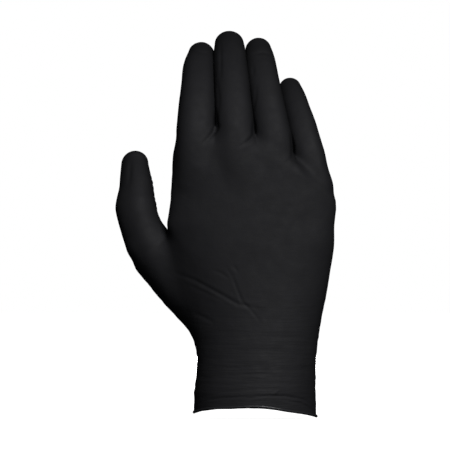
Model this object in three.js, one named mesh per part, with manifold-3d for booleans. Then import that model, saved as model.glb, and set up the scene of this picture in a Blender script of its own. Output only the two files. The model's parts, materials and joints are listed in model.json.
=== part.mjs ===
// A thin dipped disposable glove in its worn shape, for a right hand held upright.
// The film is divided where it creases when the hand moves, so each section is its own solid:
// the rolled bead, the cuff, the hand, and three or four sections for each finger and the thumb.
//
// Millimetres. +Z runs from the cuff rim to the fingertips, the back of the hand faces -Y and the
// thumb is on the -X side. The origin is on the bead's lower face, at the middle of the back of the
// rim; the sections below are measured from the rim's centre, and the group's position moves them
// there. Angles are degrees.

import * as THREE from 'three';
import { mergeVertices } from 'three/addons/utils/BufferGeometryUtils.js';
import Module from 'manifold-3d';

const wasm = await Module();
wasm.setup();

// ---- driving dimensions ------------------------------------------------------------------------

const WALL = 1.0; // section wall; the real film is about a tenth of this
const GAP = 0.4; // clearance between two sections at a fold
const NEIGHBOUR_GAP = 0.35; // clearance between the hand and a digit beside it
const BEAD_HEIGHT = 2.0;
const BEAD_REACH = 0.9; // how far the rolled bead stands out of the cuff wall
const BEAD_ROUNDING = 0.45;
const SQUARENESS = 2.25; // exponent of a cross-section: 2 is an ellipse, more is boxier
const HAND_STEPS = 24; // points around the hand and cuff
const DIGIT_STEPS = 12; // points around a finger
const DIGIT_PITCH = 8; // distance between a finger's cross-sections
const TIP_STEPS = 3; // cross-sections on a rounded fingertip
const TIP_FLAT = 0.4; // part of a step left flat at the end of a fingertip
const MERGE = 1e-4; // points closer than this are one point
const ROOT_TAPER = 0.014; // how fast a digit's form narrows inside the hand, per millimetre
const REACH = 150; // half-size of a cutting prism, larger than the glove

const WRIST = { height: 37, forward: 1, flex: 60, extend: 45 };

// Cross-sections of the hand and cuff, from the rim up. Web is how far a section follows the
// curved line on which the fingers part: 0 is level, 1 lies on that line.
const HAND_SECTIONS = [
  { z: 0, left: -34, right: 33.6, back: -25, front: 26, web: 0 },
  { z: 14, left: -33.6, right: 33.2, back: -24.5, front: 25.5, web: 0 },
  { z: 28, left: -32.4, right: 33, back: -22.5, front: 24, web: 0 },
  { z: 42, left: -33, right: 34, back: -20.5, front: 22.5, web: 0 },
  { z: 58, left: -36, right: 36.7, back: -18.5, front: 21.5, web: 0 },
  { z: 76, left: -41, right: 40.3, back: -17, front: 20, web: 0 },
  { z: 94, left: -46.5, right: 42.6, back: -16, front: 17.5, web: 0 },
  { z: 107, left: -50, right: 43.2, back: -15.5, front: 15.5, web: 0.12 },
  { z: 121, left: -47.5, right: 43.8, back: -15, front: 13.5, web: 0.35 },
  { z: 135, left: -46.5, right: 43.4, back: -13.5, front: 12, web: 0.6 },
  { z: 147, left: -45, right: 41.6, back: -11.5, front: 10.5, web: 0.85 },
  { z: 154, left: -43, right: 38.5, back: -9, front: 8.5, web: 1 },
];
const WEB_SLOPE = -0.355; // fall of the parting line from the index side to the little side
const WEB_BOW = -0.0084;
const WEB_CENTRE = -1; // where the middle and ring fingers part

// Flesh of the thumb's base, from the wrist to the thumb's root: centre and half-sizes.
const THUMB_BASE = [
  { at: [-17.5, 5, 40], width: 12, depth: 14 },
  { at: [-26.5, 7.5, 54], width: 12.5, depth: 16 },
  { at: [-40, 11, 71.5], width: 13.2, depth: 17 },
  { at: [-53.5, 13.5, 90], width: 14, depth: 16 },
  { at: [-62.8, 14, 103.5], width: 12.1, depth: 12.3 },
];

// Each digit curls along an arc. Base is its centre where it leaves the hand, lean its sideways
// tilt towards +X, forward the direction it curls in, curl its tilt at the base and at the tip,
// widths its half-width at the base, near the middle and at the tip, and rootDepth how far its form
// runs down into the hand. Folds lists its joints by distance from the base; flex and extend are
// how far each one turns from the rest shape.
const FLATNESS = 0.93; // depth of a digit over its width
const PIVOT_OFFSET = 0.35; // a fold's pivot lies this part of the half-depth towards the palm
const DIGITS = {
  thumb: {
    base: [-62.8, 14, 103.5], lean: -22.5, forward: [0.42, 0.9, 0], length: 51, curl: [20, 52],
    widths: [12, 9.8, 8], rootDepth: 6, outward: 1,
    folds: [
      { section: 'thumb_root', at: 5, spread: 18 },
      { section: 'thumb_lower', at: 15, flex: 45, extend: 10 },
      { section: 'thumb_tip', at: 28.5, flex: 60, extend: 15 },
    ],
  },
  index: {
    base: [-32.9, 0.5, 159], lean: 3.4, forward: [0, 1, 0], length: 66, curl: [15, 77],
    widths: [10.4, 8.7, 7.1], rootDepth: 26, outward: 1,
    folds: [
      { section: 'index_root', at: 6, spread: 15 },
      { section: 'index_lower', at: 15, flex: 45, extend: 25 },
      { section: 'index_upper', at: 29, flex: 60, extend: 25 },
      { section: 'index_tip', at: 48, flex: 30, extend: 12.5 },
    ],
  },
  middle: {
    base: [-11.1, -2.5, 157], lean: -4.3, forward: [0, 1, 0], length: 77, curl: [14, 77],
    widths: [10.2, 9.2, 7.5], rootDepth: 26, outward: 0,
    folds: [
      { section: 'middle_lower', at: 13, flex: 45, extend: 25 },
      { section: 'middle_upper', at: 31, flex: 60, extend: 25 },
      { section: 'middle_tip', at: 54, flex: 30, extend: 12.5 },
    ],
  },
  ring: {
    base: [10, -0.5, 154], lean: -8.7, forward: [0, 1, 0], length: 74, curl: [12, 73],
    widths: [9.8, 7.9, 6.7], rootDepth: 26, outward: -1,
    folds: [
      { section: 'ring_root', at: 7, spread: 12 },
      { section: 'ring_lower', at: 16, flex: 45, extend: 25 },
      { section: 'ring_upper', at: 30, flex: 60, extend: 25 },
      { section: 'ring_tip', at: 52, flex: 30, extend: 12.5 },
    ],
  },
  little: {
    base: [30.2, 3.8, 144], lean: -14.2, forward: [0, 1, 0], length: 58, curl: [12, 72],
    widths: [8.6, 6.8, 5.8], rootDepth: 26, outward: -1,
    folds: [
      { section: 'little_root', at: 6, spread: 18 },
      { section: 'little_lower', at: 14, flex: 45, extend: 25 },
      { section: 'little_upper', at: 25.5, flex: 60, extend: 25 },
      { section: 'little_tip', at: 40, flex: 30, extend: 12.5 },
    ],
  },
};

const FILM = { color: 0x1b1b1d, roughness: 0.5, metalness: 0 };
const BEAD = { color: 0x222225, roughness: 0.4, metalness: 0 };

const { degToRad, lerp, clamp } = THREE.MathUtils;

// ---- solids ------------------------------------------------------------------------------------

function solidFrom(geometry) {
  const bare = geometry.clone();
  for (const name of Object.keys(bare.attributes)) {
    if (name !== 'position') bare.deleteAttribute(name);
  }
  const merged = mergeVertices(bare, MERGE);
  const vertProperties = new Float32Array(merged.attributes.position.array);
  const triVerts = new Uint32Array(merged.index.array);
  return new wasm.Manifold(new wasm.Mesh({ numProp: 3, vertProperties, triVerts }));
}

function geometryFrom(solid) {
  const mesh = solid.getMesh();
  const geometry = new THREE.BufferGeometry();
  geometry.setAttribute('position', new THREE.BufferAttribute(mesh.vertProperties, 3));
  geometry.setIndex(new THREE.BufferAttribute(mesh.triVerts, 1));
  geometry.computeVertexNormals();
  return geometry;
}

// A closed skin over a stack of rings that all have the same number of points. The rings run
// anticlockwise as seen from the last ring looking back to the first.
function loft(rings) {
  const around = rings[0].length;
  const points = rings.flat();
  const centre = (ring) => ring.reduce((sum, p) => sum.add(p), new THREE.Vector3())
    .divideScalar(around);
  points.push(centre(rings[0]), centre(rings.at(-1)));
  const [startCentre, endCentre] = [points.length - 2, points.length - 1];
  const lastRing = (rings.length - 1) * around;
  const faces = [];
  for (let i = 0; i < around; i++) {
    const next = (i + 1) % around;
    for (let low = 0; low < lastRing; low += around) {
      const high = low + around;
      faces.push(low + i, low + next, high + next, low + i, high + next, high + i);
    }
    faces.push(startCentre, next, i, endCentre, lastRing + i, lastRing + next);
  }
  const geometry = new THREE.BufferGeometry().setFromPoints(points);
  geometry.setIndex(faces);
  return solidFrom(geometry);
}

// Points of one rounded cross-section, with cos along the first axis and sin along the second.
function roundedRing(steps, place) {
  const soften = (value) => Math.sign(value) * Math.abs(value) ** (2 / SQUARENESS);
  return Array.from({ length: steps }, (_, i) => {
    const angle = (2 * Math.PI * i) / steps;
    return place(soften(Math.cos(angle)), soften(Math.sin(angle)));
  });
}

const joined = (solids) => solids.reduce((sum, solid) => sum.add(solid));

// ---- the hand and cuff -------------------------------------------------------------------------

function webRise(x, web) {
  const along = x - WEB_CENTRE;
  return web * (WEB_SLOPE * along + WEB_BOW * along * along);
}

// One ring of the hand; inset moves it inwards by the wall.
function handRing({ z, left, right, back, front, web }, inset) {
  const centre = (left + right) / 2;
  const halfWidth = (right - left) / 2 - inset;
  return roundedRing(HAND_STEPS, (across, forward) => {
    const x = centre + halfWidth * across;
    const y = forward * (forward > 0 ? front - inset : -back - inset);
    return new THREE.Vector3(x, y, z + webRise(x, web));
  });
}

function handForm(inset) {
  const rings = HAND_SECTIONS.map((section) => handRing(section, inset));
  if (inset > 0) {
    const below = { ...HAND_SECTIONS[0], z: -BEAD_HEIGHT };
    rings.unshift(handRing(below, inset));
    for (const point of rings.at(-1)) point.z -= inset;
  }
  return loft(rings);
}

function thumbBaseForm(inset) {
  const path = new THREE.CatmullRomCurve3(THUMB_BASE.map(({ at }) => new THREE.Vector3(...at)));
  const last = THUMB_BASE.length - 1;
  const side = digitFrame(DIGITS.thumb, 0).side;
  const rings = THUMB_BASE.map(({ at, width, depth }, i) => {
    const along = path.getTangent(i / last);
    const across = side.clone().addScaledVector(along, -side.dot(along)).normalize();
    const forward = new THREE.Vector3().crossVectors(across, along).normalize();
    const centre = new THREE.Vector3(...at);
    return roundedRing(DIGIT_STEPS, (c, s) => centre.clone()
      .addScaledVector(across, -c * (width - inset))
      .addScaledVector(forward, s * (depth - inset)));
  });
  return loft(rings);
}

// ---- fingers and thumb -------------------------------------------------------------------------

// Position and directions on a digit's centre line: along it, forward towards the palm side, and
// side, the axis it curls about.
function digitFrame(digit, distance) {
  const [start, end] = digit.curl.map(degToRad);
  const lean = degToRad(digit.lean);
  const upright = new THREE.Vector3(Math.sin(lean), 0, Math.cos(lean));
  const ahead = new THREE.Vector3(...digit.forward);
  ahead.addScaledVector(upright, -ahead.dot(upright)).normalize();
  const side = new THREE.Vector3().crossVectors(upright, ahead);
  const radius = digit.length / (end - start);
  const tilt = start + distance / radius;
  const along = upright.clone().multiplyScalar(Math.cos(tilt)).addScaledVector(ahead, Math.sin(tilt));
  const forward = ahead.clone().multiplyScalar(Math.cos(tilt))
    .addScaledVector(upright, -Math.sin(tilt));
  const centre = new THREE.Vector3(...digit.base)
    .addScaledVector(upright, radius * (Math.sin(tilt) - Math.sin(start)))
    .addScaledVector(ahead, radius * (Math.cos(start) - Math.cos(tilt)));
  return { centre, along, forward, side };
}

function halfWidthAt(digit, distance) {
  const [root, middle, tip] = digit.widths;
  if (distance < 0) return root * (1 + ROOT_TAPER * distance);
  const t = clamp(distance / (digit.length - tip), 0, 1);
  return t < 0.5 ? lerp(root, middle, 2 * t) : lerp(middle, tip, 2 * t - 1);
}

// The digit's form from inside the hand to its rounded tip; inset may be negative.
function digitForm(digit, inset) {
  const tip = digit.widths[2];
  const domeStart = digit.length - tip;
  const ring = (distance, halfWidth) => {
    const { centre, along, forward, side } = digitFrame(digit, distance);
    return roundedRing(DIGIT_STEPS, (c, s) => centre.clone()
      .addScaledVector(side, -c * halfWidth)
      .addScaledVector(forward, s * halfWidth * FLATNESS));
  };
  const rings = [];
  const count = Math.ceil((domeStart + digit.rootDepth) / DIGIT_PITCH);
  for (let i = 0; i <= count; i++) {
    const distance = lerp(-digit.rootDepth, domeStart, i / count);
    rings.push(ring(distance, halfWidthAt(digit, distance) - inset));
  }
  for (let i = 1; i <= TIP_STEPS; i++) {
    const angle = (i / (TIP_STEPS + TIP_FLAT)) * (Math.PI / 2);
    const dome = tip - inset;
    rings.push(ring(domeStart + dome * Math.sin(angle), dome * Math.cos(angle)));
  }
  return loft(rings);
}

// ---- folds -------------------------------------------------------------------------------------

// Where a fold turns: its pivot, the direction along the digit, the direction it bends towards,
// and how far it bends that way and the other way.
function foldOf(digit, { at, flex, extend, spread }) {
  const { centre, along, forward, side } = digitFrame(digit, at);
  if (spread) {
    const outward = side.clone().multiplyScalar(digit.outward);
    return { pivot: centre, along, towards: outward, bend: spread, back: 0 };
  }
  const offset = halfWidthAt(digit, at) * FLATNESS * PIVOT_OFFSET;
  const pivot = centre.clone().addScaledVector(forward, offset);
  return { pivot, along, towards: forward, bend: flex, back: extend };
}

// The space on one side of a fold: +1 is beyond it, -1 before it. Two planes leave room for the
// sections to turn towards each other, and half the gap keeps them apart.
function foldSide({ pivot, along, towards, bend, back }, sign) {
  const rise = (angle) => REACH * Math.tan(degToRad(angle / 2)) + GAP / 2;
  const far = 2 * REACH;
  const outline = new THREE.Shape([
    new THREE.Vector2(GAP / 2, 0),
    new THREE.Vector2(rise(back), -REACH),
    new THREE.Vector2(far, -REACH),
    new THREE.Vector2(far, REACH),
    new THREE.Vector2(rise(bend), REACH),
  ]);
  const first = along.clone().multiplyScalar(sign);
  const third = new THREE.Vector3().crossVectors(first, towards);
  const placed = new THREE.Matrix4().makeBasis(first, towards, third).setPosition(pivot);
  const prism = new THREE.ExtrudeGeometry(outline, { depth: 2 * REACH, bevelEnabled: false });
  return solidFrom(prism.translate(0, 0, -REACH).applyMatrix4(placed));
}

const before = (fold) => foldSide(fold, -1);
const beyond = (fold) => foldSide(fold, 1);

// ---- sections ----------------------------------------------------------------------------------

const largest = (solid) => solid.decompose().sort((a, b) => b.volume() - a.volume())[0];

function section(name, solid, finish) {
  const mesh = new THREE.Mesh(geometryFrom(largest(solid)), new THREE.MeshStandardMaterial(finish));
  mesh.name = name;
  return mesh;
}

function digitSections(digit) {
  const shell = digitForm(digit, 0).subtract(digitForm(digit, WALL));
  const folds = digit.folds.map((fold) => foldOf(digit, fold));
  return digit.folds.map(({ section: name }, i) => {
    let piece = shell.intersect(beyond(folds[i]));
    if (i + 1 < folds.length) piece = piece.intersect(before(folds[i + 1]));
    return section(name, piece, FILM);
  });
}

// The rolled edge: a flat-faced ring that follows the rim, below the cuff wall.
function cuffBead() {
  const rim = (inset) => handRing(HAND_SECTIONS[0], inset).map(({ x, y }) => new THREE.Vector2(x, y));
  const outline = new THREE.Shape(rim(BEAD_ROUNDING - BEAD_REACH));
  outline.holes.push(new THREE.Path(rim(WALL + BEAD_ROUNDING)));
  const geometry = new THREE.ExtrudeGeometry(outline, {
    depth: BEAD_HEIGHT - 2 * BEAD_ROUNDING,
    bevelThickness: BEAD_ROUNDING,
    bevelSize: BEAD_ROUNDING,
    bevelSegments: 1,
  });
  return section('cuff_bead', solidFrom(geometry.translate(0, 0, BEAD_ROUNDING)), BEAD);
}

function aboveRim() {
  const above = new THREE.BoxGeometry(2 * REACH, 2 * REACH, 4 * REACH);
  return solidFrom(above.translate(0, 0, 2 * REACH + BEAD_HEIGHT + NEIGHBOUR_GAP));
}

function cuffAndHand() {
  const digits = Object.values(DIGITS);
  const outside = joined([
    handForm(0), thumbBaseForm(0), ...digits.map((digit) => digitForm(digit, 0)),
  ]);
  const inside = joined([
    handForm(WALL), thumbBaseForm(WALL), ...digits.map((digit) => digitForm(digit, WALL)),
  ]);
  const shell = outside.subtract(inside);
  const wrist = {
    pivot: new THREE.Vector3(0, WRIST.forward, WRIST.height),
    along: new THREE.Vector3(0, 0, 1),
    towards: new THREE.Vector3(0, 1, 0),
    bend: WRIST.flex,
    back: WRIST.extend,
  };
  const beyondFirstFolds = joined(digits.map((digit) => {
    const grown = digitForm(digit, -NEIGHBOUR_GAP);
    return grown.subtract(before(foldOf(digit, digit.folds[0])));
  }));
  return [
    section('cuff_sleeve', shell.intersect(before(wrist)).intersect(aboveRim()), FILM),
    section('hand_film', shell.intersect(beyond(wrist)).subtract(beyondFirstFolds), FILM),
  ];
}

// ---- assembly ----------------------------------------------------------------------------------

const group = new THREE.Group();
group.add(cuffBead(), ...cuffAndHand());
for (const digit of Object.values(DIGITS)) group.add(...digitSections(digit));
group.position.y = -HAND_SECTIONS[0].back - WALL / 2;

export default group;
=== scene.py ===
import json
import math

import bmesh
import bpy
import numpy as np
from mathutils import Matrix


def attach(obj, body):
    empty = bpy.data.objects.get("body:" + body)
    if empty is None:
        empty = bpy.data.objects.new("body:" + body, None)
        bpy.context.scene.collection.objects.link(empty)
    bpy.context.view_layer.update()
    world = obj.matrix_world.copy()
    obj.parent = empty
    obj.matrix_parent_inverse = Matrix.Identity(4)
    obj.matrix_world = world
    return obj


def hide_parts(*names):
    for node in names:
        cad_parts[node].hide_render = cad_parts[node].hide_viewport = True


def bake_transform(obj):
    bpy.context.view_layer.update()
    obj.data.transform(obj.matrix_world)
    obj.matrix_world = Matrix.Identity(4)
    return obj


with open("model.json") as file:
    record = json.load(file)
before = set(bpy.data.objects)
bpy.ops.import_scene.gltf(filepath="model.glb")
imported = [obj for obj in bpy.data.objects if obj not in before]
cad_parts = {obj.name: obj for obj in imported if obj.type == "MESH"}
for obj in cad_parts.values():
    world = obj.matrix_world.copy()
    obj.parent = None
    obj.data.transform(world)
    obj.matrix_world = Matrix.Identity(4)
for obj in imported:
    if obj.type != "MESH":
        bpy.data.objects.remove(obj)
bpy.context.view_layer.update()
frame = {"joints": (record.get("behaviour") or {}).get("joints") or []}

# A black disposable nitrile glove in its worn shape. The whole film is one signed distance field,
# meshed once, wrinkled, cut where the frame's joints need it, and given a thickness.
#
# Lengths are millimetres in hand coordinates: x and z as in the frame, y from the hand's middle
# plane, so the back of the hand is -y. The frame's joints say where every finger lies.

import openvdb
from mathutils import noise

MM = 0.001
CELL = 0.8      # size of the film's facets
FILM = 0.35                            # film thickness, thick enough to be a solid
FAR = 1e3                              # further than anything on the glove

JOINT = {joint["name"]: joint for joint in frame["joints"]}
WRIST_FORWARD = 1.0                    # the wrist hinge lies this far in front of the middle plane
MIDDLE_PLANE = np.array([0, JOINT["wrist_bend"]["pos_m"][1] / MM - WRIST_FORWARD, 0])
WRIST_HEIGHT = JOINT["wrist_bend"]["pos_m"][2] / MM
WRIST_REACH = 20                       # the film bends within this height of the wrist hinge


def to_frame(points):
    return (np.asarray(points, float) + MIDDLE_PLANE) * MM


def from_frame(point):
    return np.array(point, float) / MM - MIDDLE_PLANE


def unit(vector):
    return np.asarray(vector, float) / np.linalg.norm(vector)


# ---- curves and blending of distances ----------------------------------------------------------

def smoothstep(low, high, value):
    t = np.clip((value - low) / (high - low), 0, 1)
    return t * t * (3 - 2 * t)


def soft_min(a, b, reach):
    overlap = np.maximum(reach - np.abs(a - b), 0) / reach
    return np.minimum(a, b) - overlap ** 2 * reach / 4


def soft_max(a, b, reach):
    return -soft_min(-a, -b, reach)


class Profile:
    """A value along a line, through given points, with its corners rounded off."""

    SAMPLES = 600

    def __init__(self, places, values, rounding=0.12):
        self.places = np.linspace(places[0], places[-1], self.SAMPLES)
        raw = np.interp(self.places, places, values)
        half = int(self.SAMPLES * rounding / 2)
        window = np.hanning(2 * half + 3)[1:-1]
        before = raw[0] + (raw[0] - raw[1]) * np.arange(half, 0, -1)
        after = raw[-1] + (raw[-1] - raw[-2]) * np.arange(1, half + 1)
        padded = np.concatenate([before, raw, after])
        self.values = np.convolve(padded, window / window.sum(), mode="valid")

    def __call__(self, place):
        return np.interp(place, self.places, self.values)


# ---- fingers and thumb -------------------------------------------------------------------------

DIGIT_DEPTH = 0.93                     # depth of a digit over its width
PIVOT_INSET = 0.35 * DIGIT_DEPTH       # how far a bend's pivot lies from the centre line, in half-widths
SLIM = 0.7                             # the film is first meshed with its digits this much thinner
SLIM_FADE = 5                          # a digit slims over this length from its base
DIGIT_SQUARENESS = 2.3                 # exponent of a digit's cross-section: 2 is an ellipse
TIP_FADE = 25                          # it becomes an ellipse over this length before the tip
DIGIT_FILLET = 4.0                     # rounding where a digit meets the hand
BEND_CLEARANCE = 0.15                  # between a bend and the cuts at its ends
MIDDLE_HALF_WIDTH = 9.9                # of the middle finger where it bends


class Digit:
    """A finger or thumb. Its centre line is an arc placed by two of the frame's joints.

    The anchor is a joint that lies at a distance along the digit and an offset towards its palm
    side. The centre line is upright at a tilt of 0, and its curl is its tilts at base and end. Girth
    is half-widths along the digit, and sway is how far it strays towards the thumb side. The digit
    is cut into pieces at its cuts, and each piece is named after the next body of its chain. Its
    zones span the joints between those bodies: they place the gathers on the palm side, and
    bend_line finds a bend's ends within them."""

    def __init__(self, name, anchor, at, offset, curl, length, girth, sway, cuts, zones, chain,
                 fillet=DIGIT_FILLET):
        self.fillet = fillet
        self.side = unit(JOINT[f"{name}_bend"]["axis"])
        self.upright = unit([self.side[2], 0, -self.side[0]])
        self.ahead = np.cross(self.side, self.upright)
        self.start, end = (math.radians(angle) for angle in curl)
        self.radius = length / (end - self.start)
        self.root, self.tip = girth[0][0], length - girth[-1][1]
        self.girth = Profile([s for s, _ in girth], [half for _, half in girth])
        self.sway = Profile([s for s, _ in sway], [shift for _, shift in sway])
        self.cuts = cuts
        self.zones = zones
        self.chain = chain
        self.hub = np.zeros(3)
        self.hub = from_frame(JOINT[anchor]["pos_m"]) - self.point(at) - offset * self.forward(at)

    def tilt(self, s):
        return self.start + s / self.radius

    def point(self, s):
        """The centre line at a distance from the digit's base."""
        tilt = self.tilt(s)
        return self.hub + self.radius * (math.sin(tilt) * self.upright - math.cos(tilt) * self.ahead)

    def along(self, s):
        tilt = self.tilt(s)
        return math.cos(tilt) * self.upright + math.sin(tilt) * self.ahead

    def forward(self, s):
        tilt = self.tilt(s)
        return math.cos(tilt) * self.ahead - math.sin(tilt) * self.upright

    def local(self, points):
        """Distance along the digit, towards its palm side, and across it."""
        offset = points - self.hub
        rise = offset @ self.upright
        fall = -(offset @ self.ahead)
        s = (np.arctan2(rise, fall) - self.start) * self.radius
        return s, self.radius - np.hypot(rise, fall), offset @ self.side

    def distance(self, points, slim):
        s, forward, across = self.local(points)
        nearest = np.clip(s, self.root, self.tip)
        across = across - self.sway(nearest)
        half = self.girth(nearest) - slim * smoothstep(0, SLIM_FADE, s)
        near_tip = smoothstep(self.tip - TIP_FADE, self.tip, s)
        power = DIGIT_SQUARENESS + (2 - DIGIT_SQUARENESS) * near_tip
        ring = (np.abs(across) ** power + np.abs(forward / DIGIT_DEPTH) ** power) ** (1 / power)
        return np.hypot(s - nearest, ring) - half

    def bend_line(self, zone):
        """Where a bend starts and ends, kept clear of the cuts at the zone's ends."""
        lean = math.sin((zone[1] - zone[0]) / self.radius / 2)
        insets = [self.girth(s) * lean + BEND_CLEARANCE for s in zone]
        ends = (zone[0] + insets[0], zone[1] - insets[1])
        return [to_frame(self.point(s)) for s in ends]


DIGITS = [
    Digit("thumb", "thumb_swing", 5, 0, (20, 52), 51,
          girth=[(-8, 10.9), (0, 10.9), (15, 11.3), (26, 9.5), (43, 7.7)],
          sway=[(-8, 0), (10, 0.6), (17, 0.6), (28, -1.4), (43, -1.0)],
          cuts=[2, 9, 21], zones=[(2, 9), (9, 21), (21, 36)],
          chain=["hand", "thumb_root", "thumb_lower", "thumb_tip"], fillet=3),
    Digit("index", "index_spread", 6, 0, (15, 74), 66,
          girth=[(-28, 8.6), (-8, 10.4), (0, 10.9), (14, 10.4), (30, 9.4), (46, 8.7), (58.5, 7.4)],
          sway=[(-28, 0), (14, 0), (40, 0.5), (58.5, -0.3)],
          cuts=[2.5, 9, 21, 40], zones=[(2.5, 9), (9, 21), (21, 37), (41, 55)],
          chain=["hand", "index_root", "index_lower", "index_upper", "index_tip"]),
    Digit("middle", "middle_bend", 13, PIVOT_INSET * MIDDLE_HALF_WIDTH, (14, 74), 77,
          girth=[(-28, 8.4), (-8, 9.9), (0, 10.7), (18, 10.3), (38, 9.6), (56, 9.1), (69, 8.2)],
          sway=[(-28, 0), (45, 0), (69, -0.4)],
          cuts=[5, 22, 43], zones=[(5, 20), (22, 40), (46, 61)],
          chain=["hand", "middle_lower", "middle_upper", "middle_tip"]),
    Digit("ring", "ring_spread", 7, 0, (12, 70), 74,
          girth=[(-28, 8.0), (-8, 9.6), (0, 10.2), (18, 9.4), (38, 8.8), (56, 8.2), (67, 7.2)],
          sway=[(-28, 0), (10, 0), (34, 0.6), (56, 0.7), (67, 0.7)],
          cuts=[4.5, 10, 22, 43], zones=[(4.5, 10), (10, 22), (22, 38), (45, 59)],
          chain=["hand", "ring_root", "ring_lower", "ring_upper", "ring_tip"]),
    Digit("little", "little_spread", 6, 0, (12, 69), 58.5,
          girth=[(-28, 7.6), (-16, 8.8), (0, 8.8), (16, 8.1), (30, 7.3), (44, 6.7), (52, 6.1)],
          sway=[(-28, 0.7), (-17, -0.1), (-8, 0.7), (0, 0.2), (20, 0), (52, 1)],
          cuts=[3, 9, 18.5, 33.5], zones=[(3, 9), (9, 18.5), (18.5, 32), (34, 46)],
          chain=["hand", "little_root", "little_lower", "little_upper", "little_tip"]),
]


# ---- the hand and cuff -------------------------------------------------------------------------

HEIGHTS = [-12, 0, 14, 28, 42, 58, 76, 94, 107, 121, 135, 147, 156]


def along_hand(values):
    """A value for each of the hand's cross-sections, from below the rim to the fingers."""
    return Profile(HEIGHTS, values, rounding=0.05)


LEFT = along_hand([-34.2, -34, -33.9, -32.4, -30.5, -33, -39, -45.5, -49, -46.9, -46.1, -45, -43])
RIGHT = along_hand([33.8, 33.6, 33.3, 33.3, 34, 36, 39.3, 42, 43, 43.8, 44, 43.8, 42.3])
BACK = along_hand([25, 25, 24.5, 22.5, 20.5, 18.5, 17, 16, 15.2, 14, 12.7, 11.6, 10.8])
FRONT = along_hand([26, 26, 25.5, 24, 22.5, 21.5, 19.5, 17, 15.5, 13.5, 12, 10.5, 8.5])
SQUARENESS = 2.05                      # exponent of the hand's cross-section: 2 is an ellipse
TOP_HEIGHT = 155.5                     # of the hand, where the fingers part
TOP_ROUNDING = 11

# The fingers part on a curved line across the hand. Web is how far a cross-section follows that
# line: 0 is level, 1 lies on it.
WEB = along_hand([0, 0, 0, 0, 0, 0, 0, 0, 0.12, 0.35, 0.6, 0.85, 1])
WEB_CENTRE = -1
WEB_SLOPE = -0.355
WEB_BOW = -0.0084
WEB_ROUNDS = 5                         # a section's height is found by going round this many times


def section_height(points):
    """Which cross-section a point lies on, given that the upper ones follow the web line."""
    reach = points[:, 0] - WEB_CENTRE
    rise = WEB_SLOPE * reach + WEB_BOW * reach ** 2
    height = points[:, 2].copy()
    for _ in range(WEB_ROUNDS):
        height = points[:, 2] - WEB(height) * rise
    return height


def palm_distance(points):
    height = section_height(points)
    left, right = LEFT(height), RIGHT(height)
    half_width = (right - left) / 2
    depth = np.where(points[:, 1] > 0, FRONT(height), BACK(height))
    across = np.abs(points[:, 0] - (left + right) / 2) / half_width
    ahead = np.abs(points[:, 1]) / depth
    level = np.maximum(across ** SQUARENESS + ahead ** SQUARENESS, 1e-6) ** (1 / SQUARENESS)
    power = SQUARENESS - 1
    slope = np.hypot((across / level) ** power / half_width, (ahead / level) ** power / depth)
    wall = (level - 1) / np.maximum(slope, 1e-3)
    return soft_max(wall, height - TOP_HEIGHT, TOP_ROUNDING)


# Flesh under the film, as chains of balls: their places, radii, and depth over width.
THUMB_BASE = {
    "path": [(-17.5, 5, 40), (-26.5, 9.5, 54), (-40.5, 13.5, 71.5), (-53.7, 15, 89), (-61.8, 14, 104)],
    "radii": [10, 11.4, 13.2, 14.2, 10.2],
    "depth": 1.08,
}
LITTLE_SIDE = {
    "path": [(17, 6, 48), (22.5, 8, 70), (27, 5.5, 96)],
    "radii": [12.5, 14, 13],
    "depth": 1.0,
}


def chain_distance(points, path, radii, depth):
    squeeze = np.array([1, 1 / depth, 1])
    best = np.full(len(points), FAR)
    centres = [np.array(place) * squeeze for place in path]
    flat = points * squeeze
    for a, b, radius_a, radius_b in zip(centres, centres[1:], radii, radii[1:]):
        line = b - a
        t = np.clip((flat - a) @ line / (line @ line), 0, 1)
        reach = np.linalg.norm(flat - a - t[:, None] * line, axis=1)
        best = np.minimum(best, reach - (radius_a + t * (radius_b - radius_a)))
    return best


# Knuckles lift the film on the back of the hand, and it stays taut over the hollows between the
# fingers' roots: place, height, spread.
KNUCKLES = [
    ((-32, -12, 137), 1.0, 7), ((-8, -14, 139), 0.6, 7), ((13, -13, 134), 0.3, 8),
    ((30, -9, 124), 0.3, 8), ((-20, -11, 149), 0.5, 4), ((1, -11, 147), 0.5, 4),
    ((23, -8, 138), 0.8, 4.5), ((-58, 2, 97), 0.6, 8), ((-32.5, -12, 139), 0.5, 2.5),
]


def knuckle_lift(points):
    lift = np.zeros(len(points))
    for centre, height, spread in KNUCKLES:
        away = ((points - np.array(centre)) ** 2).sum(axis=1)
        lift += height * np.exp(-away / (2 * spread ** 2))
    return lift


THUMB_FILLETS = (12, 8)                # low on the thumb's base, and in the web beside the thumb
THUMB_WEB_HEIGHTS = (86, 106)          # where one fillet turns into the other
LITTLE_SIDE_FILLET = 10


def hand_distance(points):
    low, high = THUMB_FILLETS
    thumb_fillet = low + (high - low) * smoothstep(*THUMB_WEB_HEIGHTS, points[:, 2])
    hand = palm_distance(points)
    hand = soft_min(hand, chain_distance(points, **THUMB_BASE), thumb_fillet)
    hand = soft_min(hand, chain_distance(points, **LITTLE_SIDE), LITTLE_SIDE_FILLET)
    return hand - knuckle_lift(points)


DIGIT_HEART = 15                       # a place along each digit, well inside it
DIGIT_REACH = 70                       # the digit lies within this distance of its heart


def film_distance(points, slim, owner=None):
    """How far each point is outside the film. Slim thins the digits. A point with an owner only
    sees the hand and its own digit."""
    hand = hand_distance(points)
    nearest = hand.copy()
    for number, digit in enumerate(DIGITS):
        near = np.abs(points - digit.point(DIGIT_HEART)).max(axis=1) < DIGIT_REACH
        if owner is not None:
            near &= (owner == number) | (owner < 0)
        joined = soft_min(hand[near], digit.distance(points[near], slim), digit.fillet)
        nearest[near] = np.minimum(nearest[near], joined)
    return nearest


# ---- meshing -----------------------------------------------------------------------------------

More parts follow.
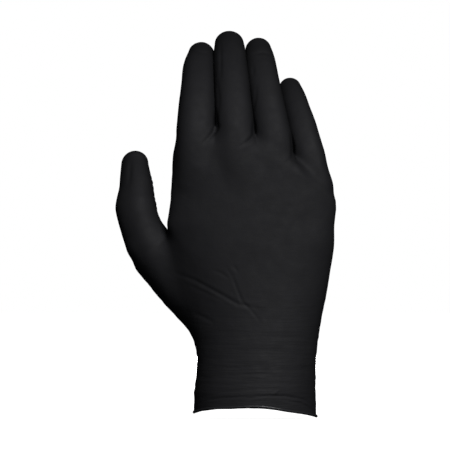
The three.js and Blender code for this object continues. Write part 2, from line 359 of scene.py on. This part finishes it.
# The grid's corners: clear of the film, except that the cuff runs out of it below the rim.
GRID_LOW = np.array([-84.0, -34.0, -8.0])
GRID_HIGH = np.array([52.0, 66.0, 222.0])
BAND = 3 * CELL                        # distances beyond this don't matter to the mesh
OWN_FILM = 2.5                         # a point this near to a digit's film belongs to the digit
SETTLE_ROUNDS = 4
LEAST_STEEPNESS = 0.3                  # keeps points in sharp hollows from being thrown about


def grid_values():
    """The field on a regular grid, one layer of constant x at a time."""
    counts = np.ceil((GRID_HIGH - GRID_LOW) / CELL).astype(int)
    ys = GRID_LOW[1] + CELL * np.arange(counts[1])
    zs = GRID_LOW[2] + CELL * np.arange(counts[2])
    yy, zz = np.meshgrid(ys, zs, indexing="ij")
    values = np.empty(counts, np.float32)
    for i in range(counts[0]):
        x = np.full(yy.size, GRID_LOW[0] + CELL * i)
        layer = film_distance(np.column_stack([x, yy.ravel(), zz.ravel()]), SLIM)
        values[i] = layer.reshape(yy.shape)
    return np.clip(values, -BAND, BAND)


def digit_of(points):
    """The number of the digit whose film each point of the slim mesh is on, or -1 on the hand."""
    distances = np.array([np.abs(digit.distance(points, SLIM)) for digit in DIGITS])
    owner = distances.argmin(axis=0)
    return np.where(distances.min(axis=0) < OWN_FILM, owner, -1)


def settle(points, owner):
    """Moves points onto the film's real surface, fattening the slim digits."""
    step = 0.05
    for _ in range(SETTLE_ROUNDS):
        slope = np.empty_like(points)
        for axis in range(3):
            shift = np.zeros(3)
            shift[axis] = step
            ahead = film_distance(points + shift, 0, owner)
            behind = film_distance(points - shift, 0, owner)
            slope[:, axis] = (ahead - behind) / (2 * step)
        steepness = np.maximum((slope ** 2).sum(axis=1), LEAST_STEEPNESS)
        points = points - slope * (film_distance(points, 0, owner) / steepness)[:, None]
    return points, slope / np.linalg.norm(slope, axis=1)[:, None]


def film_surface():
    """Points, outward directions, digit numbers and quads of the film's outer surface."""
    grid = openvdb.FloatGrid(BAND)
    grid.copyFromArray(grid_values())
    points, quads = grid.convertToQuads(0)
    points = points.astype(float) * CELL + GRID_LOW
    owner = digit_of(points)
    points, outward = settle(points, owner)
    return points, outward, owner, quads.astype(int)


# ---- wrinkles ----------------------------------------------------------------------------------

CAMERA_DISTANCE = 5000.0               # from the hand's middle plane
VIEW_WIDTH = 248.6                     # how much of that plane the picture spans
CAMERA_AIM = np.array([-16.85, 0, 106.6])


def as_seen(points):
    """Where the camera sees each point: its x and z, brought to the hand's middle plane."""
    scale = CAMERA_DISTANCE / (CAMERA_DISTANCE + points[:, 1])
    aim = CAMERA_AIM[[0, 2]]
    return aim + (points[:, [0, 2]] - aim) * scale[:, None]


LIP_HEIGHT = 0.15                      # of a crease's lips, over its depth
LIP_PLACE = 2.2                        # from the crease's line to a lip, in crease widths
CREASE_REACH = 5                       # beyond this many widths a crease isn't felt
CREASE_ENDS = 0.7                      # lower is blunter


def crease(seen, path, depth, width):
    """A valley along a line on the back of the glove, deepest at its middle, with raised lips."""
    path = np.array(path, float)
    steps = np.linalg.norm(np.diff(path, axis=0), axis=1)
    reach = CREASE_REACH * width
    near = ((seen > path.min(axis=0) - reach) & (seen < path.max(axis=0) + reach)).all(axis=1)
    away = np.full(near.sum(), FAR)
    run = np.zeros(near.sum())
    for a, b, done, step in zip(path, path[1:], np.cumsum(steps) - steps, steps):
        t = np.clip((seen[near] - a) @ (b - a) / step ** 2, 0, 1)
        off_line = np.linalg.norm(seen[near] - a - t[:, None] * (b - a), axis=1)
        run = np.where(off_line < away, done + t * step, run)
        away = np.minimum(away, off_line)
    share = np.sin(math.pi * np.clip(run / steps.sum(), 0.02, 0.98)) ** CREASE_ENDS
    lips = LIP_HEIGHT * np.exp(-((away / width - LIP_PLACE) ** 2))
    lift = np.zeros(len(seen))
    lift[near] = share * depth * (lips - np.exp(-((away / width) ** 2)))
    return lift


# Creases on the back, as the camera sees them: x and z along each, then depth and width.
CREASES = [
    ([(-44, 80), (-33.5, 76), (-20.5, 69), (-10, 63), (4.5, 59.7)], 0.45, 0.9),
    ([(-38, 73.5), (-27, 69), (-16, 64)], 0.15, 0.8),
    ([(-16.5, 83.5), (-13, 78.5), (-10.7, 72.5), (-7.4, 64.3), (-1.9, 58.8), (4.3, 51)], 0.28, 0.7),
    ([(-24, 81.8), (-19, 80), (-14.5, 77)], 0.2, 0.7),
    ([(-12.5, 84.5), (-9.5, 80.5)], 0.2, 0.7),
    ([(-34, 58), (-28, 55.3), (-22.5, 52.3)], 0.3, 0.9),
    ([(-27, 28.2), (-13.5, 27.4), (5, 28.6)], 0.2, 0.6),
    ([(-24, 23), (-4, 23.6), (12, 24.4)], 0.16, 0.7),
    ([(-30, 17.2), (-12, 17), (6, 18.4)], 0.16, 0.8),
    ([(-22, 12), (-4, 13.2), (14, 14.6)], 0.16, 0.8),
    ([(-6, 6.5), (1, 8.5), (16.5, 10.2), (26, 9.1), (34, 5)], 0.55, 0.7),
    ([(15, 7.3), (26, 6.4), (34.2, 2)], 0.45, 0.6),
    ([(8.6, 9.5), (13.2, 14)], -0.35, 0.6),
    ([(-31, 6), (-18, 8), (-4, 8.2)], 0.3, 0.6),
    ([(-19, 163), (-21.8, 158.8), (-30, 150.5)], 0.5, 0.9),
    ([(-21.8, 170), (-21.6, 161), (-25.5, 155)], 0.7, 1.0),
    ([(-1, 155), (-5, 152.2), (-9, 149.8)], 0.35, 0.8),
    ([(-0.8, 165), (-0.9, 156), (-5, 151.5)], 0.7, 1.0),
    ([(20.4, 144), (15.6, 139.8)], 0.22, 0.8),
    ([(19.6, 157), (20.7, 150), (20.4, 142.5)], 0.6, 0.9),
    ([(20.5, 143), (24.5, 140.6)], 0.2, 0.7),
    ([(-19.4, 208), (-19.2, 198), (-19.3, 187)], 0.35, 0.7),
    ([(-9.2, 204), (-10.2, 196)], 0.3, 0.8),
    ([(-1.2, 201), (4, 202), (9, 200.5)], 0.25, 0.7),
    ([(-1.4, 195), (-1.0, 189)], 0.25, 0.7),
    ([(0.5, 184), (0, 176), (-1.5, 168)], 0.22, 0.7),
    ([(-21, 186), (-20, 176), (-20.5, 168)], 0.2, 0.7),
    ([(-35, 203.5), (-30, 202), (-25.5, 201)], 0.25, 0.8),
    ([(-69, 143.5), (-69.3, 137), (-69.8, 129)], 0.35, 1.0),
]


def noise_at(points, period):
    """Smooth noise between -1 and 1 at each point. The period may differ along the three axes."""
    return np.array([noise.noise(place) for place in (points / np.array(period)).tolist()])


GATHER_HEIGHT = 0.3
GATHER_SINK = 0.4                      # how far their middle lies below the film, over their height
GATHER_SPACING = 3.6                   # from one to the next, along the digit
GATHER_SPREAD = 5.5                    # how far they reach from the middle of a bend
GATHER_WANDER = 2.2                    # how far they stray from straight, in radians of a wave


def palm_side_gathers(points, owner):
    """Gathers across the palm side of each digit, where it bends."""
    lift = np.zeros(len(points))
    for number, digit in enumerate(DIGITS):
        mine = owner == number
        s, forward, _ = digit.local(points[mine])
        palm_side = smoothstep(-0.1, 0.9, forward / digit.girth(s))
        wander = noise_at(points[mine], 9)
        for zone in digit.zones[1:]:
            middle = sum(zone) / 2
            near = np.exp(-(((s - middle) / GATHER_SPREAD) ** 2))
            wave = np.cos(2 * math.pi * (s - middle) / GATHER_SPACING + GATHER_WANDER * wander)
            lift[mine] += GATHER_HEIGHT * near * palm_side * (wave - GATHER_SINK)
    return lift


RIPPLE_HEIGHTS = (0.16, 0.45)          # of the cuff's ripples: all round, and more on the palm side
RIPPLES_BEGIN = (2, 10)                # they grow between these heights
RIPPLES_END = (42, 66)                 # and fade between these
FOLD_DEPTH = 0.5                       # of the palm's long folds
SLACK = 0.22                           # height of the whole film's broad unevenness
FINE_SLACK = 0.05                      # and of its fine unevenness


def relief(points, outward, owner):
    """How far wrinkles raise the film at each point."""
    seen = as_seen(points)
    on_back = smoothstep(0.0, 0.35, -outward[:, 1])
    on_palm = 1 - smoothstep(-0.3, 0.3, -outward[:, 1])
    lift = palm_side_gathers(points, owner)
    for path, depth, width in CREASES:
        lift += crease(seen, path, depth, width) * on_back

    # The loose cuff ripples round the wrist, and more so on the palm side.
    z = points[:, 2]
    cuff = smoothstep(*RIPPLES_BEGIN, z) * (1 - smoothstep(*RIPPLES_END, z))
    ripple = noise_at(points, (34, 34, 5.0)) + 0.5 * noise_at(points + 50, (17, 17, 2.6))
    lift += cuff * ripple * (RIPPLE_HEIGHTS[0] + RIPPLE_HEIGHTS[1] * on_palm)

    # The palm gathers in a few long folds, and the whole film is never quite taut.
    hand = smoothstep(50, 70, z) * (owner < 0)
    slant = points @ np.array([[0.8, 0, 0.6], [0, 1, 0], [-0.6, 0, 0.8]])
    fold = np.maximum(1 - 4 * np.abs(noise_at(slant, (10, 30, 60))), 0)
    lift -= FOLD_DEPTH * on_palm * hand * fold ** 2
    lift += SLACK * noise_at(points + 20, 13) * (0.5 + on_palm)
    lift += FINE_SLACK * noise_at(points + 80, 4.5)
    return lift


# ---- the rolled rim ----------------------------------------------------------------------------

RIM_REACH = 34                         # how far up the cuff the rim's rise is felt
RIM_CORNERS = (2.6, 0.3)               # rise at the thumb side and at the little finger side
RIM_ARCH = (4.6, 3.2)                  # further rise at the middle of the back and of the palm side
RIM_ARCH_POWER = 1.7                   # higher makes the arches narrower
RIM_HALF_WIDTH = 34
RIM_HALF_DEPTH = 25
RIM_WAVE = 0.35                        # height of a wave along the arches
RIM_WAVE_STRETCH = 5.5                 # its length over 2 pi
BEAD_RADIUS = 0.75


def rim_rise(points):
    """The rim isn't level: it arches up over the back and over the palm side."""
    side = smoothstep(-RIM_HALF_WIDTH, RIM_HALF_WIDTH, points[:, 0])
    corners = RIM_CORNERS[0] * (1 - side) + RIM_CORNERS[1] * side
    arch = np.where(points[:, 1] < 0, *RIM_ARCH)
    depth = np.clip(np.abs(points[:, 1]) / RIM_HALF_DEPTH, 0, 1)
    wave = RIM_WAVE * np.sin(points[:, 0] / RIM_WAVE_STRETCH + 1) * depth
    return corners + arch * depth ** RIM_ARCH_POWER + wave


def lift_rim(points):
    fade = np.clip(1 - points[:, 2] / RIM_REACH, 0, 1) ** 2
    lifted = points.copy()
    lifted[:, 2] += rim_rise(points) * fade
    return lifted


# ---- cutting the film into pieces --------------------------------------------------------------

FILM_BOTTOM = 0.6                      # the film ends here, inside the bead
CUT_REACH = 3 * CELL + 0.5             # a cut across a digit goes through the faces this near to it


def faces_near(bm, owner_layer, number, digit, s):
    """The faces of one digit within a short way of a cut across it."""
    verts = [v for v in bm.verts if v[owner_layer] == number + 1]
    places = digit.local(np.array([v.co[:] for v in verts]))[0]
    close = {v for v, place in zip(verts, places) if abs(place - s) < CUT_REACH}
    return {face for v in close for face in v.link_faces}


def cut(bm, geometry, place, direction, drop=False):
    """Cuts the given faces along a plane, and drops what lies behind it if asked."""
    edges = {edge for face in geometry for edge in face.edges}
    verts = {vert for face in geometry for vert in face.verts}
    return bmesh.ops.bisect_plane(
        bm, geom=list(geometry) + list(edges) + list(verts), dist=1e-4,
        plane_co=tuple(place), plane_no=tuple(direction), clear_inner=drop)


def cut_film(points, owner, quads):
    """The film as a bmesh, trimmed at its bottom and with edges along every cut."""
    bm = bmesh.new()
    layer = bm.verts.layers.int.new("owner")
    verts = [bm.verts.new(point) for point in points.tolist()]
    for vert, number in zip(verts, owner.tolist()):
        vert[layer] = number + 1
    for quad in quads.tolist():
        bm.faces.new([verts[i] for i in quad])
    cut(bm, bm.faces, (0, 0, FILM_BOTTOM), (0, 0, 1), drop=True)
    for number, digit in enumerate(DIGITS):
        for s in digit.cuts:
            fresh = cut(bm, faces_near(bm, layer, number, digit, s), digit.point(s), digit.along(s))
            for item in fresh["geom_cut"]:
                if isinstance(item, bmesh.types.BMVert):
                    item[layer] = number + 1
    return bm, layer


def sort_faces(bm, layer, points):
    """The faces of each piece, as lists of point numbers, keyed by digit number and piece number."""
    pieces = {}
    places = [digit.local(points)[0] for digit in DIGITS]
    for face in bm.faces:
        corners = [vert.index for vert in face.verts]
        numbers = [vert[layer] - 1 for vert in face.verts]
        number = max(set(numbers), key=numbers.count)
        key = (-1, 0)
        if number >= 0:
            s = sum(places[number][i] for i in corners) / len(corners)
            beyond = sum(s > cut_place for cut_place in DIGITS[number].cuts)
            if beyond > 0:
                key = (number, beyond - 1)
        pieces.setdefault(key, []).append(corners)
    return pieces


# ---- making objects ----------------------------------------------------------------------------

def add_object(name, mesh, rest_points):
    rest = mesh.attributes.new("rest_place", "FLOAT_VECTOR", "POINT")
    rest.data.foreach_set("vector", rest_points.astype(np.float32).ravel())
    thing = bpy.data.objects.new(name, mesh)
    bpy.context.scene.collection.objects.link(thing)
    return thing


def thick_film(name, points, normals, faces):
    """A closed piece of film: its outer faces, inner faces, and strips round its open edges."""
    used = sorted({i for face in faces for i in face})
    index = {i: k for k, i in enumerate(used)}
    outer = [[index[i] for i in face] for face in faces]
    count = len(used)
    inner = [[i + count for i in reversed(face)] for face in outer]
    directed = {(a, b) for face in outer for a, b in zip(face, face[1:] + face[:1])}
    border = [(a, b) for a, b in directed if (b, a) not in directed]
    strips = [[b, a, a + count, b + count] for a, b in border]
    shell, direction = points[used], normals[used]
    mesh = bpy.data.meshes.new(name)
    both = np.vstack([shell, shell - FILM * direction])
    mesh.from_pydata(to_frame(both).tolist(), [], outer + inner + strips)
    mesh.update()

    # The pieces of one film share their shading, so that no seam shows between them.
    shading = [direction[i] for face in outer for i in face]
    shading += [-direction[i - count] for face in inner for i in face]
    for polygon in list(mesh.polygons)[len(outer) + len(inner):]:
        shading += [np.array(polygon.normal)] * len(polygon.vertices)
    for polygon in mesh.polygons:
        polygon.use_smooth = True
    mesh.normals_split_custom_set(shading)
    return add_object(name, mesh, both)


def bead(material):
    """The rolled edge of the cuff: a thin ring of uneven thickness round the rim."""
    steps, rounds = 240, 14
    turn = 2 * math.pi * np.arange(steps) / steps
    power = 2 / SQUARENESS
    half_width = (RIGHT(0) - LEFT(0)) / 2
    x = (RIGHT(0) + LEFT(0)) / 2 + half_width * np.sign(np.cos(turn)) * np.abs(np.cos(turn)) ** power
    depth = np.where(np.sin(turn) > 0, FRONT(0), BACK(0))
    y = depth * np.sign(np.sin(turn)) * np.abs(np.sin(turn)) ** power
    ring = lift_rim(np.column_stack([x, y, np.full(steps, BEAD_RADIUS)]))
    forward = np.roll(ring, -1, axis=0) - np.roll(ring, 1, axis=0)
    forward /= np.linalg.norm(forward, axis=1)[:, None]
    outward = np.cross(forward, [0, 0, 1])
    outward /= np.linalg.norm(outward, axis=1)[:, None]
    upward = np.cross(outward, forward)
    radius = BEAD_RADIUS * (1 + 0.16 * noise_at(ring, 9) + 0.1 * noise_at(ring + 30, 3))
    spin = 2 * math.pi * np.arange(rounds) / rounds
    points = (ring[:, None]
              + (radius[:, None] * np.cos(spin))[..., None] * outward[:, None]
              + (1.1 * radius[:, None] * np.sin(spin))[..., None] * upward[:, None]).reshape(-1, 3)
    faces = []
    for i in range(steps):
        for j in range(rounds):
            k, l = (i + 1) % steps, (j + 1) % rounds
            faces.append([i * rounds + j, i * rounds + l, k * rounds + l, k * rounds + j])
    mesh = bpy.data.meshes.new("rolled_rim")
    mesh.from_pydata(to_frame(points).tolist(), [], faces)
    mesh.update()
    for polygon in mesh.polygons:
        polygon.use_smooth = True
    ring_object = add_object("rolled_rim", mesh, points)
    mesh.materials.append(material)
    return ring_object


# ---- materials ---------------------------------------------------------------------------------

def add_node(tree, kind, **settings):
    node = tree.nodes.new(kind)
    for name, value in settings.items():
        setattr(node, name, value)
    return node


def noise_node(tree, place, period, detail=2.0):
    """A noise texture whose pattern repeats roughly every period millimetres."""
    texture = add_node(tree, "ShaderNodeTexNoise")
    texture.inputs["Scale"].default_value = 1 / period
    texture.inputs["Detail"].default_value = detail
    tree.links.new(place, texture.inputs["Vector"])
    return texture.outputs["Fac"]


def spread_over(tree, value, low, high):
    """Maps noise to a range of values."""
    scaled = add_node(tree, "ShaderNodeMapRange")
    scaled.inputs["From Min"].default_value = 0.3
    scaled.inputs["From Max"].default_value = 0.7
    scaled.inputs["To Min"].default_value = low
    scaled.inputs["To Max"].default_value = high
    tree.links.new(value, scaled.inputs["Value"])
    return scaled.outputs["Result"]


def film_tone_and_painted_edge_shade(tree, place, shade):
    """Nearly black and a little uneven, with painted shade: darker where the film turns away from the
    view.
    """
    colour = add_node(tree, "ShaderNodeMix", data_type="RGBA")
    colour.inputs["A"].default_value = (0.85 * shade, 0.85 * shade, 0.95 * shade, 1)
    colour.inputs["B"].default_value = (1.15 * shade, 1.15 * shade, 1.3 * shade, 1)
    tree.links.new(noise_node(tree, place, 11, 4), colour.inputs["Factor"])
    # Painted shade: the colour is multiplied down towards 0.05 where the film is seen edge-on, standing
    # in for shade on its turned-away sides.
    painted_shade_mask = add_node(tree, "ShaderNodeLayerWeight")
    painted_shade_mask.inputs["Blend"].default_value = 0.2
    edge = add_node(tree, "ShaderNodeMix", data_type="RGBA", blend_type="MULTIPLY")
    edge.inputs["B"].default_value = (0.05, 0.05, 0.05, 1)
    tree.links.new(painted_shade_mask.outputs["Facing"], edge.inputs["Factor"])
    tree.links.new(colour.outputs["Result"], edge.inputs["A"])
    return edge.outputs["Result"]


def bump_node(tree, height, distance, below=None):
    """A bump of a distance in millimetres, on top of the bump below it."""
    bump = add_node(tree, "ShaderNodeBump")
    bump.inputs["Distance"].default_value = distance * MM
    tree.links.new(height, bump.inputs["Height"])
    if below is not None:
        tree.links.new(below.outputs["Normal"], bump.inputs["Normal"])
    return bump


def crinkle_strength(tree, place):
    """Strong round the wrist, and fading out towards the palm."""
    height = add_node(tree, "ShaderNodeSeparateXYZ")
    tree.links.new(place, height.inputs["Vector"])
    fade = add_node(tree, "ShaderNodeMapRange")
    fade.inputs["From Min"].default_value = 30
    fade.inputs["From Max"].default_value = 75
    fade.inputs["To Min"].default_value = 0.65
    fade.inputs["To Max"].default_value = 0.05
    tree.links.new(height.outputs["Z"], fade.inputs["Value"])
    return fade.outputs["Result"]


def film_bumps(tree, place):
    """Grain, small ripples, and fine crinkles that lie round the wrist."""
    grain = bump_node(tree, noise_node(tree, place, 0.7, 3), 0.05)
    grain.inputs["Strength"].default_value = 0.35
    ripples = bump_node(tree, noise_node(tree, place, 3.2, 3), 0.25, below=grain)
    ripples.inputs["Strength"].default_value = 0.4
    flattened = add_node(tree, "ShaderNodeMapping", vector_type="POINT")
    flattened.inputs["Scale"].default_value = (0.12, 0.12, 1)
    tree.links.new(place, flattened.inputs["Vector"])
    bands = noise_node(tree, flattened.outputs["Vector"], 1.8, 3)
    crinkles = bump_node(tree, bands, 0.5, below=ripples)
    tree.links.new(crinkle_strength(tree, place), crinkles.inputs["Strength"])
    return crinkles.outputs["Normal"]


def nitrile(name, shade, roughness, gloss):
    """Black nitrile: nearly black, satin, with the faint unevenness of a dipped film, and painted shade
    where it turns away from the view.
    """
    material = bpy.data.materials.new(name)
    material.use_nodes = True
    tree = material.node_tree
    surface = tree.nodes["Principled BSDF"]
    place = add_node(tree, "ShaderNodeAttribute", attribute_name="rest_place").outputs["Vector"]
    uneven = spread_over(tree, noise_node(tree, place, 6, 4), roughness - 0.05, roughness + 0.06)
    tree.links.new(film_tone_and_painted_edge_shade(tree, place, shade), surface.inputs["Base Color"])
    tree.links.new(uneven, surface.inputs["Roughness"])
    tree.links.new(film_bumps(tree, place), surface.inputs["Normal"])
    surface.inputs["IOR"].default_value = 1.5
    surface.inputs["Specular IOR Level"].default_value = gloss
    return material


# ---- the glove ---------------------------------------------------------------------------------

def build_glove():
    points, outward, owner, quads = film_surface()
    points = points + relief(points, outward, owner)[:, None] * outward
    bm, layer = cut_film(points, owner, quads)
    for vert, place in zip(bm.verts, lift_rim(np.array([vert.co[:] for vert in bm.verts]))):
        vert.co = place
    bm.verts.index_update()
    bm.normal_update()
    points = np.array([vert.co[:] for vert in bm.verts])
    normals = np.array([vert.normal[:] for vert in bm.verts])
    film = nitrile("black_nitrile", 0.021, 0.68, gloss=0.22)
    for (number, k), faces in sorted(sort_faces(bm, layer, points).items()):
        if number < 0:
            piece = thick_film("hand_and_cuff", points, normals, faces)
            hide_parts("cuff_sleeve", "hand_film")
            start = to_frame((0, 0, WRIST_HEIGHT - WRIST_REACH))
            end = to_frame((0, 0, WRIST_HEIGHT + WRIST_REACH))
            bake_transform(piece)
        else:
            digit = DIGITS[number]
            before, after = digit.chain[k:k + 2]
            piece = thick_film(f"{after}_film", points, normals, faces)
            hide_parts(after)
            start, end = digit.bend_line(digit.zones[k])
            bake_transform(piece)
        piece.data.materials.append(film)
    bm.free()
    # The roll's base colour is painted lighter than the film's (0.03 against 0.021) as a painted
    # highlight along the bead; its lower roughness and higher gloss give it a real sheen.
    rim = bead(nitrile("black_nitrile_roll_painted_highlight", 0.03, 0.36, gloss=0.5))
    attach(rim, "cuff")
    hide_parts("cuff_bead")


build_glove()


# ---- studio ------------------------------------------------------------------------------------

def add_camera():
    data = bpy.data.cameras.new("camera")
    camera = bpy.data.objects.new("camera", data)
    bpy.context.scene.collection.objects.link(camera)
    data.lens = data.sensor_width * CAMERA_DISTANCE / VIEW_WIDTH
    camera.location = to_frame(CAMERA_AIM - np.array([0, CAMERA_DISTANCE, 0]))
    camera.rotation_euler = (math.pi / 2, 0, 0)
    bpy.context.scene.camera = camera


LIGHT_AIM_Y = 0.02                     # the lights aim at this y, in line with the camera


def add_softbox(name, place, size, power, glossy=True):
    """A square light of a size in metres, aimed at the glove from a place given in metres."""
    data = bpy.data.lights.new(name, "AREA")
    data.size = size
    data.energy = power
    box = bpy.data.objects.new(name, data)
    box.location = place
    aim = bpy.data.objects["camera"].location.copy()
    aim.y = LIGHT_AIM_Y
    box.rotation_euler = (aim - box.location).to_track_quat("-Z", "Y").to_euler()
    box.visible_camera = False
    box.visible_glossy = glossy
    bpy.context.scene.collection.objects.link(box)


def add_floor():
    """A plain white floor just under the rim, where a shadow shows only near the glove. It doesn't
    mirror in the film."""
    half = 6.0
    level = -0.0005
    mesh = bpy.data.meshes.new("floor")
    corners = [(-half, -half), (half, -half), (half, half), (-half, half)]
    mesh.from_pydata([(x, y, level) for x, y in corners], [], [(0, 1, 2, 3)])
    floor = bpy.data.objects.new("floor", mesh)
    bpy.context.scene.collection.objects.link(floor)
    material = bpy.data.materials.new("white_floor")
    material.use_nodes = True
    tree = material.node_tree
    surface = tree.nodes["Principled BSDF"]
    surface.inputs["Base Color"].default_value = (0.9, 0.9, 0.9, 1)
    surface.inputs["Roughness"].default_value = 1
    surface.inputs["Specular IOR Level"].default_value = 0
    surface.inputs["Emission Color"].default_value = (1, 1, 1, 1)
    place = add_node(tree, "ShaderNodeNewGeometry").outputs["Position"]
    away = add_node(tree, "ShaderNodeVectorMath", operation="LENGTH")
    tree.links.new(place, away.inputs[0])
    glow = add_node(tree, "ShaderNodeMapRange")
    glow.inputs["From Min"].default_value = 0.08
    glow.inputs["From Max"].default_value = 0.3
    glow.inputs["To Min"].default_value = 0.9
    glow.inputs["To Max"].default_value = 1.0
    tree.links.new(away.outputs["Value"], glow.inputs["Value"])
    tree.links.new(glow.outputs["Result"], surface.inputs["Emission Strength"])
    mesh.materials.append(material)
    floor.visible_glossy = False
    floor.visible_diffuse = False


def add_surroundings():
    """White behind the glove, and only a dim even light on it from all round."""
    world = bpy.data.worlds.new("studio")
    world.use_nodes = True
    bpy.context.scene.world = world
    tree = world.node_tree
    seen = tree.nodes["Background"]
    seen.inputs["Color"].default_value = (1, 1, 1, 1)
    seen.inputs["Strength"].default_value = 1.0
    lit = add_node(tree, "ShaderNodeBackground")
    lit.inputs["Color"].default_value = (0.9, 0.95, 1, 1)
    lit.inputs["Strength"].default_value = 0.02
    ray = add_node(tree, "ShaderNodeLightPath")
    choose = add_node(tree, "ShaderNodeMixShader")
    tree.links.new(ray.outputs["Is Camera Ray"], choose.inputs["Fac"])
    tree.links.new(lit.outputs["Background"], choose.inputs[1])
    tree.links.new(seen.outputs["Background"], choose.inputs[2])
    tree.links.new(choose.outputs["Shader"], tree.nodes["World Output"].inputs["Surface"])


add_camera()
add_softbox("key", (0.75, -2.15, 1.65), 1.2, 46.5)
add_softbox("back", (0.2, 2.4, 0.3), 1.0, 50, glossy=False)
add_floor()
add_surroundings()
bpy.context.scene.view_settings.view_transform = "Standard"
